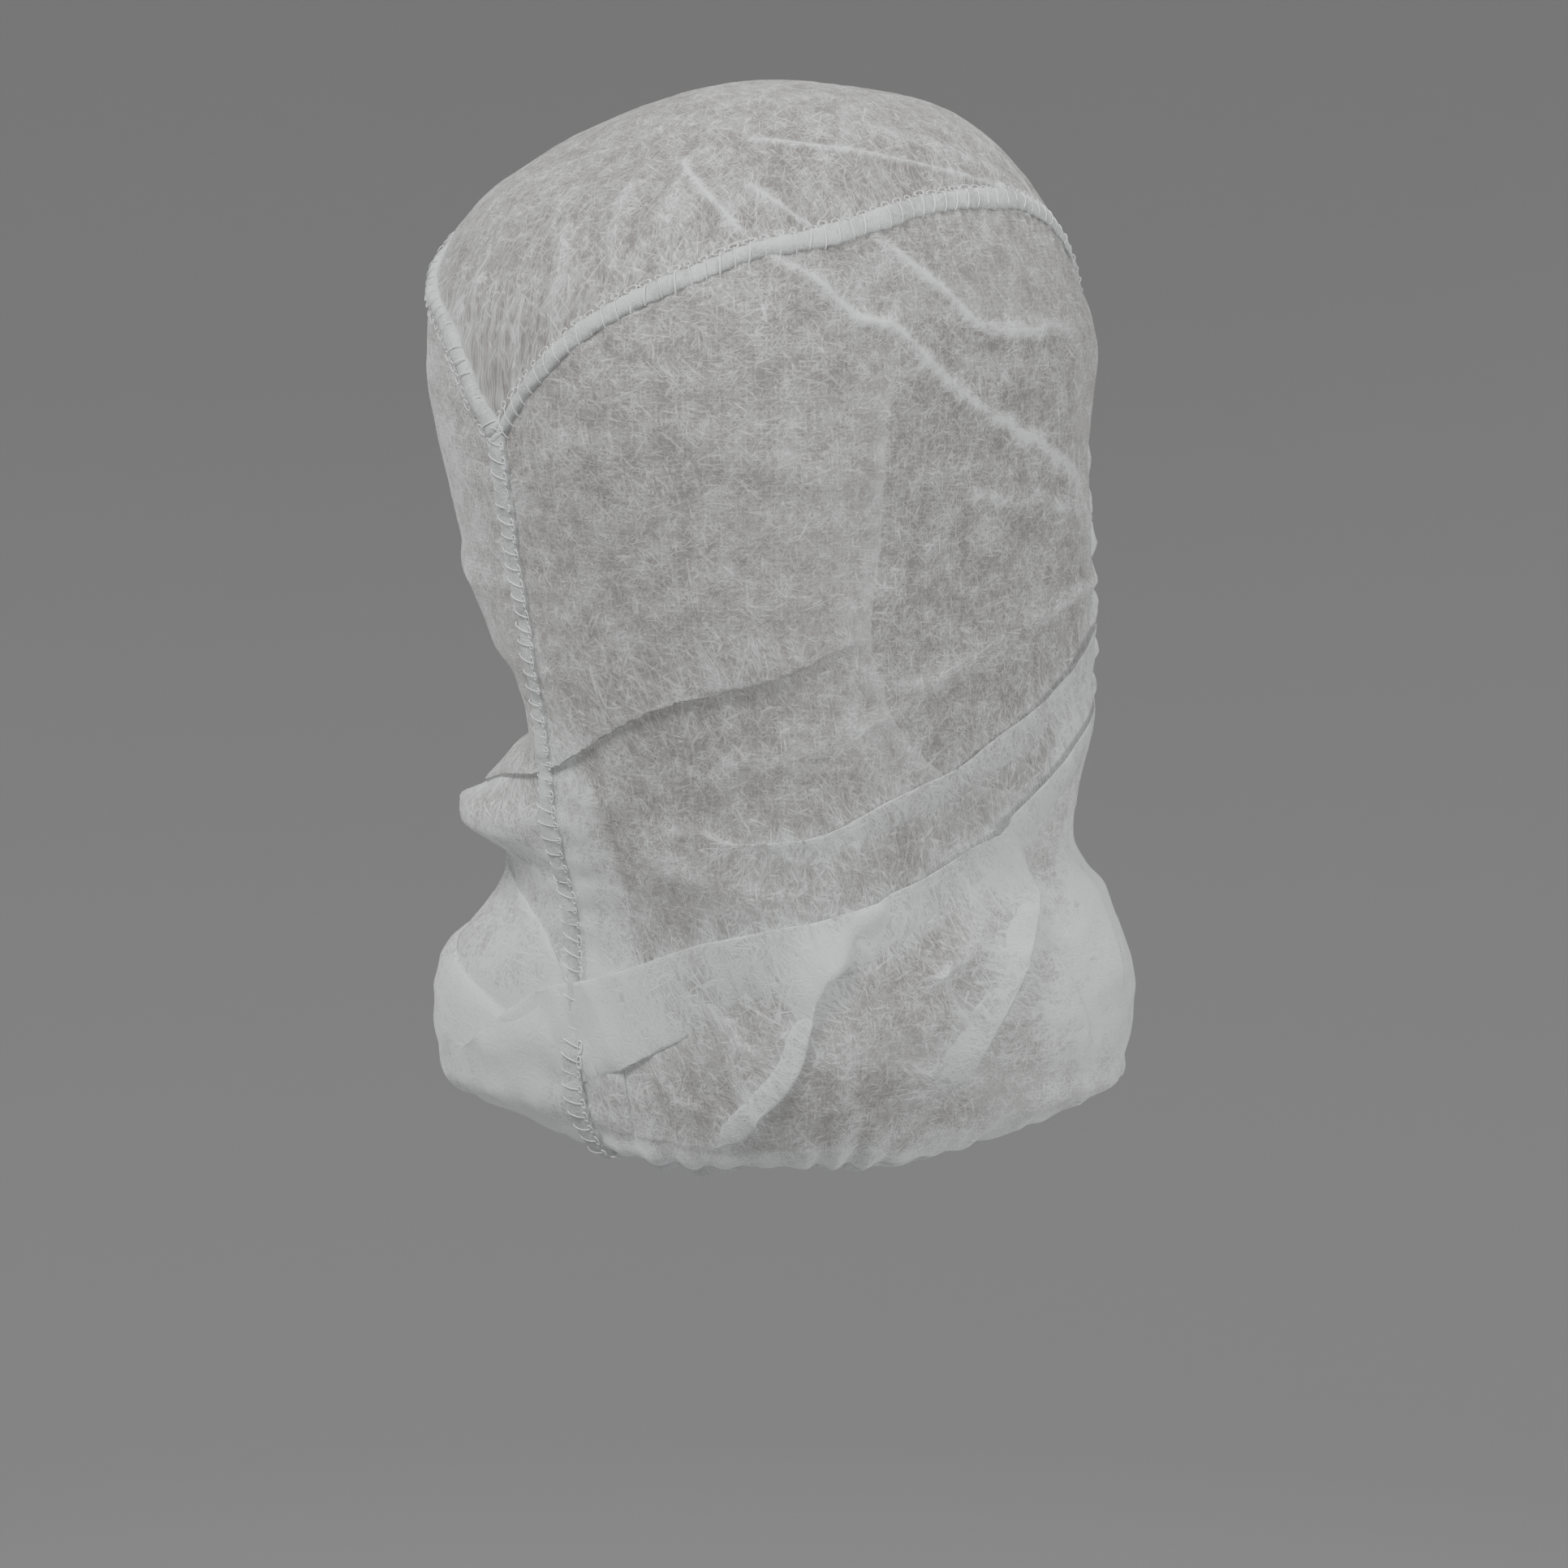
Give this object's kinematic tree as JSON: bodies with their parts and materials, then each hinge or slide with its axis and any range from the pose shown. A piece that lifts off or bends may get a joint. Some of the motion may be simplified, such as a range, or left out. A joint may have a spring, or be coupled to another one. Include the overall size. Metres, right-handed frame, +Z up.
{
  "type": "disposable hood",
  "caption": "White see-through non-woven head hood with a crown gusset, rolled seams, an elastic face opening and a gathered elastic neck edge, draped as on a head.",
  "frame": {"origin": "inside of the crown at its top, where the hood rests on the head", "axes": "+Z up, -Y is where the face looks, -X is the wearer's right, which is the near side in the picture"},
  "size_m": [0.1716, 0.2036, 0.3059],
  "materials": {
    "non_woven_cloth": "matt, thin and see-through, spunbond fibres",
    "seam_thread": "matt rolled cloth under overlock thread",
    "elastic_edge": "matt gathered cloth over a thin elastic"
  },
  "bodies": {
    "root": {"crown_gusset": "non_woven_cloth", "side_panel_right": "non_woven_cloth", "side_panel_left": "non_woven_cloth", "gusset_seam_right": "seam_thread", "gusset_seam_left": "seam_thread", "back_seam": "seam_thread", "chin_seam": "seam_thread", "face_elastic": "elastic_edge", "neck_elastic": "elastic_edge"}
  },
  "joints": []
}
